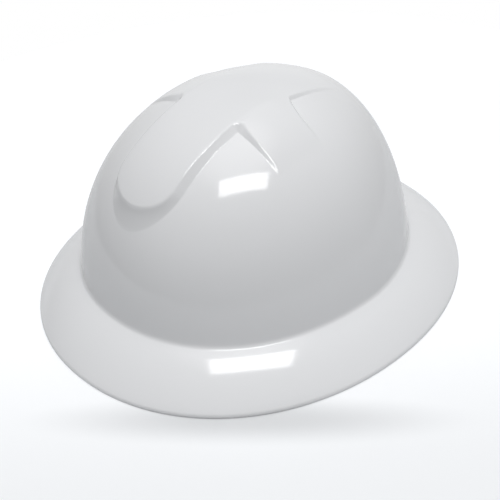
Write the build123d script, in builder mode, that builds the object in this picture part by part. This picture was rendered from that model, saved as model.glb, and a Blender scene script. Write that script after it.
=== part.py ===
from build123d import *
from math import ceil, cos, copysign, degrees, pi, radians, sin, sqrt
import os

os.makedirs("parts", exist_ok=True)

# Full brim hard hat in millimetres: +Z up, front towards -Y, rim underside at Z = 0.

# Shell: crown, crest and brim
rim_half_width = 143.8
rim_half_length = 158.0
rim_edge = 2.6
rim_lip = 3.0
wall = 2.4
root_height = 29.3
crown_top = 145.8
crown_shift = 4.6
crown_half_width = 112.2
crown_front = 127.6
crown_back = 117.2
crown_flare_share = 0.122
crease_radius = 9.0
under_drop = 1.2
brim_bow = 1.4
rim_shares = (2.09, 2.09)
crown_shares = (2.13, 1.88)
side_shape_shares = (2.20, 2.56)
front_shape_shares = (2.43, 2.17)
back_shape_shares = (2.69, 3.04)
level_shares = (0, 0.14, 0.28, 0.42, 0.56, 0.69, 0.80, 0.885, 0.945, 0.980, 0.994)
oval_points = 20

# Crest: a fore-and-aft strip with a rounded front end, crossed by a band
crest_rise = 1.8
crest_half_width = 108.6
crest_front = 131.5
crest_back = 112.4
strip_half_width = 27.0
strip_rear_half_width = 30.5
strip_front = 99.3
strip_front_round = 23.2
strip_rear = 78.0
strip_rear_taper = 26.0
strip_tail_half_width = 26.0
cross_front = 26.0
cross_rear = 14.0
cross_reach = 68.0
crest_corner = 6.0

# Keys that hang the suspension in four sockets
key_angle = 48.0
key_plate_width = 26.0
key_plate = 3.0
key_plate_height = 17.0
key_clearance = 0.3
socket_bottom = 30.0
socket_width = 30.0
socket_height = 22.0
socket_depth = 7.5
pocket_height = 16.0
pocket_gap = 3.4
tongue = 2.0
tongue_width = 21.4
ledge = 3.0
ledge_drop = 5.0
ledge_width = 24.0
hook_arm_width = 11.0
hook = 2.0
hook_width = 10.0
hook_height = 10.0
hook_round = 1.2
hook_gap = 1.2

# Crown straps
strap_width = 19.0
strap_thickness = 1.4
strap_gap = 3.3
strap_shoulder_height = 88.0
strap_top_height = 114.0
strap_shoulder_radius = 70.0
strap_top_radius = 150.0
strap_crossing_gap = 0.6
hem_thickness = 4.2
hem_height = 2.7

# Headband and sweatband
head_radius = 80.0
band_straight = 34.0
band_centre = -3.0
band_thickness = 1.8
band_bottom = 5.0
band_height = 30.0
band_corner = 5.0
tail_angle = 62.0
vent_length = 18.0
vent_height = 5.0
vent_pitch_angle = 20.0
vent_count = 7
loop_width = 16.0
loop_height = 9.0
loop_wall = 1.8
sweatband_thickness = 3.2
sweatband_angle = 70.0
sweatband_trim = 1.0
soft_gap = 0.3
soft_corner = 6.0

# Nape straps with toothed slots
slide_gap = 0.3
nape_thickness = 1.6
nape_height = 24.0
nape_start_angle = 24.0
nape_corner = 7.0
rack_travel = 30.0
rack_end = 6.5
rack_tooth_share = 0.42

# Ratchet
ratchet_height = 20.0
tooth_module = 1.0
pinion_teeth = 10
addendum_share = 0.85
dedendum_share = 1.25
tip_share = 0.30
pressure_angle = 20.0
root_share = 0.92
pinion_shaft = 6.0
pinion_pin = 3.0
shaft_clearance = 0.05
hex_flats = 5.0
hex_length = 4.6
hex_clearance = 0.1
housing_half_width = 27.0
housing_wall = 4.2
housing_depth = 4.6
housing_taper = 3.0
housing_round = 1.5
cover_thickness = 1.7
cover_angle = 18.0
cover_gap = 0.1
knob_radius = 17.5
knob_depth = 10.0
knob_gap = 0.4
knob_chamfer = 1.0
knob_grip_radius = 3.0
knob_grip_count = 12
knob_grip_bite = 1.2
knob_dish_radius = 12.0
knob_dish_depth = 1.4
detent_inner = 8.0
detent_outer = 13.0
detent_pocket = 2.0
detent_tooth = 0.8
detent_count = 12
detent_tooth_width = 0.9
spring_thickness = 0.8
spring_recess = 1.2
spring_clearance = 0.3
ridge_width = 1.6
ridge_share = 0.8
ridge_taper = 12.0
screw_shank = 2.9
screw_length = 8.0
screw_head = 5.4
screw_head_height = 1.8
screw_head_chamfer = 0.5
washer_diameter = 6.2
washer_thickness = 0.5
drive_length = 3.6
drive_width = 0.9
drive_depth = 0.8
housing_screw = 1.8
housing_screw_head = 3.2
housing_screw_head_height = 1.0
housing_screw_length = 7.0
housing_screw_spread = 18.0
pad_thickness = 3.4
pad_angle = 12.5
pad_trim = 2.5

overrun = 1.0


# Outlines of the crown
def reach(length, shape, level):
    power, root = shape
    flare = (1 + crown_flare_share * (1 - level)) / (1 + crown_flare_share)
    return length * (1 - level ** power) ** (1 / root) * flare


def oval(height, half_width, front, back, shares, shift):
    points = []
    for i in range(oval_points):
        turn = 2 * pi * (i + 0.5) / oval_points
        share, length = (shares[1], back) if sin(turn) > 0 else (shares[0], front)
        across = copysign(abs(cos(turn)) ** (2 / share), cos(turn))
        along = copysign(abs(sin(turn)) ** (2 / share), sin(turn))
        points.append((half_width * across, shift + length * along))
    with BuildSketch(Plane.XY.offset(height)) as section:
        with BuildLine():
            Spline(*points, periodic=True)
        make_face()
    return section.sketch.faces()[0]


def crown_sections(half_width, front, back, top, inset):
    sections = []
    for level in level_shares:
        sections.append(oval(
            root_height + (top - inset - root_height) * level,
            reach(half_width, side_shape_shares, level) - inset,
            reach(front, front_shape_shares, level) - inset,
            reach(back, back_shape_shares, level) - inset,
            crown_shares, crown_shift))
    return sections + [Vertex(0, crown_shift, top - inset)]


def rim_oval(height, inset):
    half_length = rim_half_length - inset
    return oval(height, rim_half_width - inset, half_length, half_length, rim_shares, 0)


# The brim bows up a little between the rim and the crown
def brim_middle(bottom, top, rim_inset, crown_inset):
    half_length = rim_half_length - rim_inset
    return oval(
        (bottom + top) / 2 + brim_bow,
        (rim_half_width - rim_inset + crown_half_width - crown_inset) / 2,
        (half_length + crown_front - crown_inset) / 2,
        (half_length + crown_back - crown_inset) / 2,
        [(a + b) / 2 for a, b in zip(rim_shares, crown_shares)],
        crown_shift / 2)


with BuildPart() as outer_crown:
    loft(sections=crown_sections(crown_half_width, crown_front, crown_back, crown_top, 0))

with BuildPart() as inner_crown:
    loft(sections=crown_sections(crown_half_width, crown_front, crown_back, crown_top, wall))

# The crest is a slightly longer and narrower crown, kept only over its plan outline
with BuildPart() as crest:
    loft(sections=crown_sections(crest_half_width, crest_front, crest_back, crown_top + crest_rise, 0))
    with BuildSketch(mode=Mode.PRIVATE) as crest_plan:
        with BuildLine() as crest_edge:
            straight_end = strip_front_round - strip_front
            EllipticalCenterArc(
                (0, straight_end), strip_half_width, strip_front_round, start_angle=-90, arc_size=90)
            Polyline(
                (strip_half_width, straight_end),
                (strip_half_width, -cross_front),
                (cross_reach, -cross_front),
                (cross_reach, cross_rear),
                (strip_rear_half_width, cross_rear),
                (strip_rear_half_width, strip_rear - strip_rear_taper),
                (strip_tail_half_width, strip_rear),
                (0, strip_rear))
            mirror(about=Plane.YZ)
        make_face()
    inside_corners = crest_plan.vertices().filter_by(
        lambda v: abs(v.Y + cross_front) < wall and abs(v.X) < cross_reach - wall)
    rear_corners = crest_plan.vertices().filter_by(
        lambda v: abs(v.Y - cross_rear) < wall and abs(v.X) < cross_reach - wall)
    with BuildSketch() as crest_outline:
        add(crest_plan.sketch)
        fillet([v for v in crest_outline.vertices() if v in inside_corners + rear_corners], crest_corner)
    extrude(amount=crown_top + wall, mode=Mode.INTERSECT)


# Where the keys stand round the crown
def key_place(angle):
    return Plane(origin=(0, crown_shift, 0), x_dir=(cos(radians(angle)), sin(radians(angle)), 0))


def wall_reach(angle):
    share, length = (crown_shares[1], crown_back) if angle > 0 else (crown_shares[0], crown_front)
    across = abs(cos(radians(angle))) / (crown_half_width - wall)
    along = abs(sin(radians(angle))) / (length - wall)
    return (across ** share + along ** share) ** (-1 / share)


key_names = {
    "front_right": -key_angle, "front_left": key_angle - 180,
    "rear_right": key_angle, "rear_left": 180 - key_angle}
pocket_depth = tongue + 2 * key_clearance

with BuildPart() as sockets:
    for angle in key_names.values():
        with BuildSketch(key_place(angle).offset(socket_bottom)):
            with Locations((wall_reach(angle) + (wall - socket_depth) / 2, 0)):
                Rectangle(wall + socket_depth, socket_width)
        extrude(amount=socket_height)
    add(outer_crown.part, mode=Mode.INTERSECT)

with BuildPart() as shell:
    with BuildSketch():
        add(rim_oval(0, 0))
    extrude(amount=rim_edge)
    rim_top = rim_oval(rim_edge, 0)
    crown_foot = crown_sections(crown_half_width, crown_front, crown_back, crown_top, 0)[0]
    loft(sections=[rim_top, brim_middle(rim_edge, root_height, 0, 0), crown_foot])
    add(outer_crown.part)
    fillet(shell.edges().filter_by(lambda e: abs(e.center().Z - root_height) < rim_edge), crease_radius)
    add(crest.part)
    add(inner_crown.part, mode=Mode.SUBTRACT)
    foot_height = root_height - under_drop
    inner_foot = oval(
        foot_height, crown_half_width - wall, crown_front - wall, crown_back - wall,
        crown_shares, crown_shift)
    under_middle = brim_middle(0, foot_height, rim_lip, wall)
    loft(sections=[rim_oval(0, rim_lip), under_middle, inner_foot], mode=Mode.SUBTRACT)
    inner_root = crown_sections(crown_half_width, crown_front, crown_back, crown_top, wall)[0]
    loft(sections=[inner_foot, inner_root], ruled=True, mode=Mode.SUBTRACT)
    add(sockets.part)
    for angle in key_names.values():
        with BuildSketch(key_place(angle).offset(socket_bottom)):
            with Locations((wall_reach(angle) - pocket_gap - pocket_depth / 2, 0)):
                Rectangle(pocket_depth, tongue_width + 2 * key_clearance)
        extrude(amount=pocket_height, mode=Mode.SUBTRACT)
shell.part.label = "shell"
export_step(shell.part, "parts/shell.step")

# The headband's plan is two half rounds joined by straight sides
front_centre = band_centre - band_straight / 2
rear_centre = band_centre + band_straight / 2
band_outer = head_radius + band_thickness


def band_reach_at(angle):
    offset_y = (rear_centre if angle > 0 else front_centre) - crown_shift
    across = offset_y * cos(radians(angle))
    return offset_y * sin(radians(angle)) + sqrt(band_outer ** 2 - across ** 2)


plate_top = socket_bottom - key_clearance
ledge_top = plate_top - ledge_drop
ledge_bottom = ledge_top - ledge


def make_key(angle, name):
    place = key_place(angle)
    tongue_out = wall_reach(angle) - pocket_gap - key_clearance
    plate_out = tongue_out + (key_plate - tongue) / 2
    hook_in = band_reach_at(angle) + hook_gap
    strap_at = plate_out - key_plate - strap_gap
    with BuildPart() as key:
        with BuildSketch(place.offset(plate_top - key_plate_height)):
            with Locations((plate_out - key_plate / 2, 0)):
                RectangleRounded(key_plate, key_plate_width, hook_round)
        extrude(amount=key_plate_height)
        with BuildSketch(place.offset(plate_top - wall)):
            with Locations((tongue_out - tongue / 2, 0)):
                Rectangle(tongue, tongue_width)
        extrude(amount=pocket_height + wall - key_clearance)
        with BuildSketch(place.offset(ledge_bottom)):
            ledge_in = strap_at - strap_gap
            with Locations(((ledge_in + plate_out - key_plate / 2) / 2, 0)):
                Rectangle(plate_out - key_plate / 2 - ledge_in, ledge_width)
            with Locations(((hook_in + strap_at) / 2, 0)):
                Rectangle(strap_at - hook_in, hook_arm_width)
            with Locations((strap_at, 0)):
                Rectangle(
                    strap_thickness + 2 * key_clearance, strap_width + 2 * key_clearance,
                    mode=Mode.SUBTRACT)
        extrude(amount=ledge)
        with BuildSketch(place.offset(ledge_bottom - hook_height)):
            with Locations((hook_in + hook / 2, 0)):
                Rectangle(hook, hook_width)
        extrude(amount=hook_height + ledge / 2)
    key.part.label = "key_" + name
    export_step(key.part, "parts/key_" + name + ".step")


for name, angle in key_names.items():
    make_key(angle, name)


# Woven straps run from key to key over the head
def strap_line_at(angle):
    return wall_reach(angle) - pocket_gap - key_clearance + (key_plate - tongue) / 2 - key_plate - strap_gap


def make_strap(rear_angle, front_angle, lowered, name):
    direction = (cos(radians(rear_angle)), sin(radians(rear_angle)), 0)
    across = (direction[1], -direction[0], 0)
    front_end = -strap_line_at(front_angle)
    rear_end = strap_line_at(rear_angle)
    hem_top = ledge_bottom - key_clearance
    with BuildPart() as strap:
        with BuildSketch(Plane(origin=(0, crown_shift, 0), x_dir=direction, z_dir=across)):
            with BuildLine():
                FilletPolyline(
                    (front_end, hem_top - hem_height),
                    (front_end, strap_shoulder_height - lowered),
                    (0, strap_top_height - lowered),
                    (rear_end, strap_shoulder_height - lowered),
                    (rear_end, hem_top - hem_height),
                    radius=[strap_shoulder_radius, strap_top_radius, strap_shoulder_radius])
            trace(line_width=strap_thickness)
            with Locations((front_end, hem_top - hem_height / 2), (rear_end, hem_top - hem_height / 2)):
                Rectangle(hem_thickness, hem_height)
        extrude(amount=strap_width / 2, both=True)
    strap.part.label = name
    export_step(strap.part, "parts/" + name + ".step")


make_strap(key_angle, key_angle - 180, 0, "crown_strap_upper")
make_strap(180 - key_angle, -key_angle, strap_thickness + strap_crossing_gap, "crown_strap_lower")

# Headband, open at the nape
band_top = band_bottom + band_height
with BuildPart() as headband:
    with BuildSketch(Plane.XY.offset(band_bottom)):
        with Locations((0, band_centre)):
            SlotCenterToCenter(band_straight, 2 * band_outer, rotation=90)
            SlotCenterToCenter(band_straight, 2 * head_radius, rotation=90, mode=Mode.SUBTRACT)
    extrude(amount=band_height)
    for angle in key_names.values():
        with BuildSketch(key_place(angle).offset(ledge_bottom - loop_height)):
            loop_out = band_reach_at(angle) + hook_gap + hook + key_clearance + loop_wall
            loop_in = band_reach_at(angle) - band_thickness
            with Locations(((loop_in + loop_out) / 2, 0)):
                Rectangle(loop_out - loop_in, loop_width)
            with Locations((band_reach_at(angle) + hook_gap + hook / 2, 0)):
                Rectangle(hook + 2 * key_clearance, hook_width + 2 * key_clearance, mode=Mode.SUBTRACT)
        extrude(amount=loop_height - key_clearance)
    with BuildSketch():
        with Locations((0, band_centre)):
            SlotCenterToCenter(band_straight, 2 * head_radius, rotation=90)
    extrude(amount=band_top, mode=Mode.SUBTRACT)
    with BuildSketch():
        with BuildLine():
            far = 2 * head_radius
            Polyline(
                (0, rear_centre),
                (far * cos(radians(tail_angle)), rear_centre + far * sin(radians(tail_angle))),
                (-far * cos(radians(tail_angle)), rear_centre + far * sin(radians(tail_angle))),
                close=True)
        make_face()
    extrude(amount=band_top, mode=Mode.SUBTRACT)
    for i in range(vent_count):
        turn = (i - (vent_count - 1) / 2) * vent_pitch_angle - 90
        outward = (cos(radians(turn)), sin(radians(turn)), 0)
        sideways = (-outward[1], outward[0], 0)
        vent_centre = (0, front_centre, band_top - vent_height)
        with BuildSketch(Plane(origin=vent_centre, x_dir=sideways, z_dir=outward)):
            SlotOverall(vent_length, vent_height)
        extrude(amount=band_outer + overrun, mode=Mode.SUBTRACT)
    ends = headband.edges().filter_by(
        lambda e: abs(e.length - band_thickness) < band_thickness / 4
        and e.center().Y > rear_centre + head_radius / 2)
    fillet(ends, band_corner)
headband.part.label = "headband"
export_step(headband.part, "parts/headband.step")


# Curved strips and pads are sectors of a ring
def ring_sector(inner, outer, start, size, centre, bottom):
    with BuildSketch(Plane.XY.offset(bottom)) as sector:
        with BuildLine():
            inside = CenterArc((0, centre), inner, start, size)
            outside = CenterArc((0, centre), outer, start, size)
            Line(inside @ 0, outside @ 0)
            Line(inside @ 1, outside @ 1)
        make_face()
    return sector.sketch


sweat_outer = head_radius - soft_gap
with BuildPart() as sweatband:
    sweat_bottom = band_bottom + sweatband_trim
    add(ring_sector(
        sweat_outer - sweatband_thickness, sweat_outer, -90 - sweatband_angle, 2 * sweatband_angle,
        front_centre, sweat_bottom))
    extrude(amount=band_height - 2 * sweatband_trim)
    sweat_ends = sweatband.edges().filter_by(
        lambda e: abs(e.length - sweatband_thickness) < sweatband_thickness / 4)
    fillet(sweat_ends, soft_corner)
sweatband.part.label = "sweatband"
export_step(sweatband.part, "parts/sweatband.step")

# Nape straps: the left one runs outside the right one, and each carries a toothed slot
pitch_radius = tooth_module * pinion_teeth / 2
tooth_pitch = pi * tooth_module
tooth_addendum = addendum_share * tooth_module
tooth_dedendum = dedendum_share * tooth_module
rack_teeth = 2 * ceil((rack_travel + pitch_radius + tooth_addendum + slide_gap) / tooth_pitch)
nape_bottom = ratchet_height - nape_height / 2
left_outer = head_radius - slide_gap
right_outer = left_outer - nape_thickness - slide_gap


def make_nape_strap(outer, side, name):
    inner = outer - nape_thickness
    middle = outer - nape_thickness / 2
    half_slot = degrees((rack_teeth / 2 * tooth_pitch) / middle)
    end_angle = 90 + half_slot + degrees(rack_end / middle)
    size = end_angle - nape_start_angle
    start = 180 - end_angle if side < 0 else nape_start_angle
    with BuildPart() as nape:
        add(ring_sector(inner, outer, start, size, rear_centre, nape_bottom))
        extrude(amount=nape_height)
        corners = nape.edges().filter_by(lambda e: abs(e.length - nape_thickness) < nape_thickness / 4)
        fillet(corners, nape_corner)
        root_line = pitch_radius + tooth_dedendum
        smooth_line = pitch_radius + tooth_module + slide_gap
        low = root_line if side > 0 else smooth_line
        high = smooth_line if side > 0 else root_line
        with BuildSketch(Plane.XY.offset(ratchet_height - low)):
            add(ring_sector(
                inner - overrun, outer + overrun, 90 - half_slot, 2 * half_slot, rear_centre, 0))
        extrude(amount=low + high, mode=Mode.SUBTRACT)
        for i in range(rack_teeth):
            turn = radians(90) + (i - (rack_teeth - 1) / 2) * tooth_pitch / middle
            outward = (cos(turn), sin(turn), 0)
            sideways = (-outward[1], outward[0], 0)
            face_point = (inner * outward[0], rear_centre + inner * outward[1], ratchet_height)
            with BuildSketch(Plane(origin=face_point, x_dir=sideways, z_dir=outward)):
                with BuildLine():
                    tip = rack_tooth_share * tooth_pitch / 2 - tooth_addendum * sin(radians(pressure_angle))
                    base = tip + (tooth_addendum + tooth_dedendum) * sin(radians(pressure_angle))
                    up = -side
                    Polyline(
                        (-tip, up * (pitch_radius - tooth_addendum)),
                        (tip, up * (pitch_radius - tooth_addendum)),
                        (base, up * (root_line + slide_gap)),
                        (-base, up * (root_line + slide_gap)),
                        close=True)
                make_face()
            extrude(amount=nape_thickness)
    nape.part.label = name
    export_step(nape.part, "parts/" + name + ".step")


make_nape_strap(left_outer, -1, "nape_strap_left")
make_nape_strap(right_outer, 1, "nape_strap_right")

# Housing at the nape, with a channel for both straps
back_face = rear_centre + left_outer + cover_gap + slide_gap + housing_depth
channel_outer = left_outer + slide_gap
channel_inner = right_outer - nape_thickness - slide_gap
housing_height = nape_height + 2 * slide_gap + 2 * housing_wall
housing_bottom = ratchet_height - housing_height / 2
channel_height = nape_height + 2 * slide_gap


def back_plane(y):
    return Plane.XZ.offset(-y)


screw_spots = [
    (x, ratchet_height + z)
    for x in (-housing_screw_spread, housing_screw_spread)
    for z in (-(channel_height + housing_wall) / 2, (channel_height + housing_wall) / 2)]
cover_outer = channel_inner - cover_gap
screw_seat = rear_centre + sqrt(cover_outer ** 2 - housing_screw_spread ** 2) - cover_thickness / 2
shaft_bore = pinion_shaft + 2 * shaft_clearance

with BuildPart() as housing:
    with BuildSketch(Plane.XY.offset(housing_bottom)):
        with BuildLine():
            inside = CenterArc((0, rear_centre), channel_inner, 90 - cover_angle, 2 * cover_angle)
            Polyline(
                inside @ 0,
                (housing_half_width, (inside @ 0).Y + housing_taper),
                (housing_half_width - housing_taper, back_face),
                (-housing_half_width + housing_taper, back_face),
                (-housing_half_width, (inside @ 0).Y + housing_taper),
                inside @ 1)
        make_face()
    extrude(amount=housing_height)
    fillet(housing.faces().sort_by(Axis.Y)[-1].edges(), housing_round)
    with BuildSketch(Plane.XY.offset(ratchet_height - channel_height / 2)):
        add(ring_sector(
            channel_inner - overrun, channel_outer, 90 - 2 * cover_angle, 4 * cover_angle, rear_centre, 0))
    extrude(amount=channel_height, mode=Mode.SUBTRACT)
    with BuildSketch(back_plane(rear_centre + channel_inner)):
        with Locations((0, ratchet_height)):
            Circle(shaft_bore / 2)
    extrude(amount=-(back_face - rear_centre), mode=Mode.SUBTRACT)
    with BuildSketch(back_plane(back_face)):
        with Locations((0, ratchet_height)):
            Circle(detent_outer + spring_clearance)
            Circle(detent_inner - spring_clearance, mode=Mode.SUBTRACT)
    extrude(amount=spring_recess, mode=Mode.SUBTRACT)
    with BuildSketch(back_plane(screw_seat)):
        with Locations(*screw_spots):
            Circle(housing_screw / 2)
    extrude(amount=-housing_screw_length, mode=Mode.SUBTRACT)
housing.part.label = "ratchet_housing"
export_step(housing.part, "parts/ratchet_housing.step")

cover_inner = cover_outer - cover_thickness
with BuildPart() as cover:
    add(ring_sector(
        cover_inner, cover_outer, 90 - cover_angle, 2 * cover_angle, rear_centre, housing_bottom))
    extrude(amount=housing_height)
    cover_corners = cover.edges().filter_by(lambda e: abs(e.length - cover_thickness) < cover_thickness / 4)
    fillet(cover_corners, housing_round)
    with BuildSketch(back_plane(rear_centre + cover_inner - overrun)):
        with Locations((0, ratchet_height)):
            Circle(pinion_pin / 2 + shaft_clearance)
    extrude(amount=-(cover_thickness + 2 * overrun), mode=Mode.SUBTRACT)
    with BuildSketch(back_plane(screw_seat - cover_thickness)):
        with Locations(*screw_spots):
            Circle(housing_screw / 2)
    extrude(amount=-2 * cover_thickness, mode=Mode.SUBTRACT)
    with BuildSketch(back_plane(screw_seat)):
        with Locations(*screw_spots):
            Circle(housing_screw_head / 2 + shaft_clearance)
    extrude(amount=cover_thickness, mode=Mode.SUBTRACT)
cover.part.label = "ratchet_inner_cover"
export_step(cover.part, "parts/ratchet_inner_cover.step")

with BuildPart() as housing_screws:
    with BuildSketch(back_plane(screw_seat)):
        with Locations(*screw_spots):
            Circle(housing_screw_head / 2)
    extrude(amount=housing_screw_head_height)
    with BuildSketch(back_plane(screw_seat)):
        with Locations(*screw_spots):
            Circle(housing_screw / 2 - shaft_clearance)
    extrude(amount=-(housing_screw_length - shaft_clearance))
housing_screws.part.label = "housing_screws"
export_step(housing_screws.part, "parts/housing_screws.step")

with BuildPart() as nape_pad:
    pad_outer = cover_inner - soft_gap
    pad_height = housing_height - 2 * pad_trim
    add(ring_sector(
        pad_outer - pad_thickness, pad_outer, 90 - pad_angle, 2 * pad_angle, rear_centre,
        ratchet_height - pad_height / 2))
    extrude(amount=pad_height)
    pad_ends = nape_pad.edges().filter_by(lambda e: abs(e.length - pad_thickness) < pad_thickness / 4)
    fillet(pad_ends, soft_corner)
nape_pad.part.label = "nape_pad"
export_step(nape_pad.part, "parts/nape_pad.step")

# Pinion: ten teeth between the two racks, a pin in the cover and a hexagon in the knob
gear_start = rear_centre + channel_inner + cover_gap
gear_end = rear_centre + left_outer
knob_face = back_face + knob_gap
with BuildPart() as pinion:
    with BuildSketch(back_plane(gear_start)):
        with Locations((0, ratchet_height)):
            Circle(pitch_radius - tooth_dedendum)
            with PolarLocations(0, pinion_teeth, start_angle=90):
                half_pitch = tooth_pitch / 2
                gear_tip = pitch_radius + tooth_addendum
                gear_root = pitch_radius - tooth_dedendum - slide_gap
                Polygon(
                    (gear_root, -root_share * half_pitch / 2),
                    (pitch_radius, -half_pitch * 2 * rack_tooth_share / 2),
                    (gear_tip, -tip_share * half_pitch / 2),
                    (gear_tip, tip_share * half_pitch / 2),
                    (pitch_radius, half_pitch * 2 * rack_tooth_share / 2),
                    (gear_root, root_share * half_pitch / 2),
                    align=None)
    extrude(amount=-(gear_end - gear_start))
    with BuildSketch(back_plane(gear_start)):
        with Locations((0, ratchet_height)):
            Circle(pinion_pin / 2)
    extrude(amount=cover_thickness)
    with BuildSketch(back_plane(gear_end)):
        with Locations((0, ratchet_height)):
            Circle(pinion_shaft / 2)
    extrude(amount=-(knob_face - gear_end))
    with BuildSketch(back_plane(knob_face)):
        with Locations((0, ratchet_height)):
            RegularPolygon(hex_flats / 2, 6, major_radius=False)
    extrude(amount=-hex_length)
    with BuildSketch(back_plane(knob_face + hex_length)):
        with Locations((0, ratchet_height)):
            Circle(screw_shank / 2 + shaft_clearance)
    extrude(amount=screw_length, mode=Mode.SUBTRACT)
pinion.part.label = "pinion_gear"
export_step(pinion.part, "parts/pinion_gear.step")

knob_back = knob_face + knob_depth
socket_floor = knob_face + hex_length + hex_clearance
with BuildPart() as knob:
    with BuildSketch(back_plane(knob_face)):
        with Locations((0, ratchet_height)):
            Circle(knob_radius)
            with PolarLocations(knob_radius + knob_grip_radius - knob_grip_bite, knob_grip_count):
                Circle(knob_grip_radius, mode=Mode.SUBTRACT)
    extrude(amount=-knob_depth)
    chamfer(knob.faces().sort_by(Axis.Y)[-1].edges(), knob_chamfer)
    with BuildSketch(back_plane(knob_back)):
        with Locations((0, ratchet_height)):
            Circle(knob_dish_radius)
    extrude(amount=knob_dish_depth, mode=Mode.SUBTRACT)
    with BuildSketch(back_plane(knob_face)):
        with Locations((0, ratchet_height)):
            Circle(detent_outer + spring_clearance)
            Circle(detent_inner - spring_clearance, mode=Mode.SUBTRACT)
    extrude(amount=-detent_pocket, mode=Mode.SUBTRACT)
    with BuildSketch(back_plane(knob_face + detent_pocket)):
        with Locations((0, ratchet_height)):
            with PolarLocations((detent_inner + detent_outer) / 2, detent_count):
                Rectangle(detent_outer - detent_inner, detent_tooth_width)
    extrude(amount=detent_tooth)
    with BuildSketch(back_plane(knob_face)):
        with Locations((0, ratchet_height)):
            RegularPolygon(hex_flats / 2 + hex_clearance, 6, major_radius=False)
    extrude(amount=-(hex_length + hex_clearance), mode=Mode.SUBTRACT)
    with BuildSketch(back_plane(socket_floor)):
        with Locations((0, ratchet_height)):
            Circle(screw_shank / 2 + shaft_clearance)
    extrude(amount=-knob_depth, mode=Mode.SUBTRACT)
    head_seat = knob_back - knob_dish_depth - screw_head_height
    with BuildSketch(back_plane(head_seat)):
        with Locations((0, ratchet_height)):
            Circle(washer_diameter / 2 + hex_clearance)
    extrude(amount=-knob_depth, mode=Mode.SUBTRACT)
knob.part.label = "ratchet_knob"
export_step(knob.part, "parts/ratchet_knob.step")

with BuildPart() as washer:
    with BuildSketch(back_plane(head_seat)):
        with Locations((0, ratchet_height)):
            Circle(washer_diameter / 2)
            Circle(screw_shank / 2 + shaft_clearance, mode=Mode.SUBTRACT)
    extrude(amount=-washer_thickness)
washer.part.label = "knob_washer"
export_step(washer.part, "parts/knob_washer.step")

head_under = head_seat + washer_thickness
with BuildPart() as knob_screw:
    with BuildSketch(back_plane(head_under)):
        with Locations((0, ratchet_height)):
            Circle(screw_head / 2)
    extrude(amount=-screw_head_height)
    chamfer(knob_screw.faces().sort_by(Axis.Y)[-1].edges(), screw_head_chamfer)
    with BuildSketch(back_plane(head_under + screw_head_height)):
        with Locations((0, ratchet_height)):
            Rectangle(drive_length, drive_width)
            Rectangle(drive_width, drive_length)
    extrude(amount=drive_depth, mode=Mode.SUBTRACT)
    with BuildSketch(back_plane(head_under)):
        with Locations((0, ratchet_height)):
            Circle(screw_shank / 2)
    extrude(amount=screw_length)
knob_screw.part.label = "knob_screw"
export_step(knob_screw.part, "parts/knob_screw.step")

# Detent spring: a flat ring whose two ridges reach up to the knob's teeth
ridge_top = knob_face + detent_pocket - detent_tooth - spring_clearance
ring_floor = back_face - spring_recess
with BuildPart() as detent_spring:
    with BuildSketch(back_plane(ring_floor)):
        with Locations((0, ratchet_height)):
            Circle(detent_outer)
            Circle(detent_inner, mode=Mode.SUBTRACT)
    extrude(amount=-spring_thickness)
    with BuildSketch(back_plane(ring_floor + spring_thickness)):
        with Locations((0, ratchet_height)):
            with PolarLocations((detent_inner + detent_outer) / 2, 2):
                Rectangle((detent_outer - detent_inner) * ridge_share, ridge_width)
    extrude(amount=-(ridge_top - ring_floor - spring_thickness), taper=ridge_taper)
detent_spring.part.label = "detent_spring"
export_step(detent_spring.part, "parts/detent_spring.step")
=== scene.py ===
from math import atan2, copysign, cos, exp, hypot, pi, radians, sin

import bmesh
import bpy
from mathutils import Matrix, Vector


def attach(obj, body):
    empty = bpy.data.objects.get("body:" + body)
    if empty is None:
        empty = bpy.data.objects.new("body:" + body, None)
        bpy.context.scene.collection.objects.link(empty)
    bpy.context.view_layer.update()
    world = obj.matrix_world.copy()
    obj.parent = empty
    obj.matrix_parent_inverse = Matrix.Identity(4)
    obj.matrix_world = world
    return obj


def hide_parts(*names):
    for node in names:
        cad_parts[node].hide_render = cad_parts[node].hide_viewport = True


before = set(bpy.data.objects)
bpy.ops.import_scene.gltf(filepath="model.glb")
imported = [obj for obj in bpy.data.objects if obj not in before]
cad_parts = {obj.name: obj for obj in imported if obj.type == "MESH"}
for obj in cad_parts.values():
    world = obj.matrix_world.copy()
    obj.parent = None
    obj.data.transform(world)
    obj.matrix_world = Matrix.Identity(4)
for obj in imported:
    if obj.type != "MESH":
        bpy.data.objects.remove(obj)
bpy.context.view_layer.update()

mm = 0.001              # sizes are in millimetres, and places in a mesh in metres
hair = 0.01             # a length in millimetres that counts as none
speck = 0.0001          # a length in millimetres that only rounding leaves
slight = 0.001          # a part of a direction that counts as none
alike = 0.9             # two directions whose product is more than this are taken as one
roundProfile = 0.5      # the profile that makes a bevel round
carrier = "shell"       # the body that carries everything but the ratchet's moving pieces


# colours are written as they look on a screen
def hexColour(text):
    channels = [int(text[i:i + 2], 16) / 255 for i in (1, 3, 5)]
    linear = [c / 12.92 if c <= 0.04045 else ((c + 0.055) / 1.055) ** 2.4 for c in channels]
    return (*linear, 1.0)


def newMaterial(name):
    material = bpy.data.materials.new(name)
    material.use_nodes = True
    return material, material.node_tree.nodes["Principled BSDF"]


# adds a node to a material or to the world: its inputs are given a value or another node's socket
def addNode(owner, kind, inputs=None, **settings):
    node = owner.node_tree.nodes.new(kind)
    for key, value in settings.items():
        setattr(node, key, value)
    for key, value in (inputs or {}).items():
        if isinstance(value, bpy.types.NodeSocket):
            link(owner, value, node.inputs[key])
        else:
            node.inputs[key].default_value = value
    return node


def link(owner, source, target):
    owner.node_tree.links.new(source, target)


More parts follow.
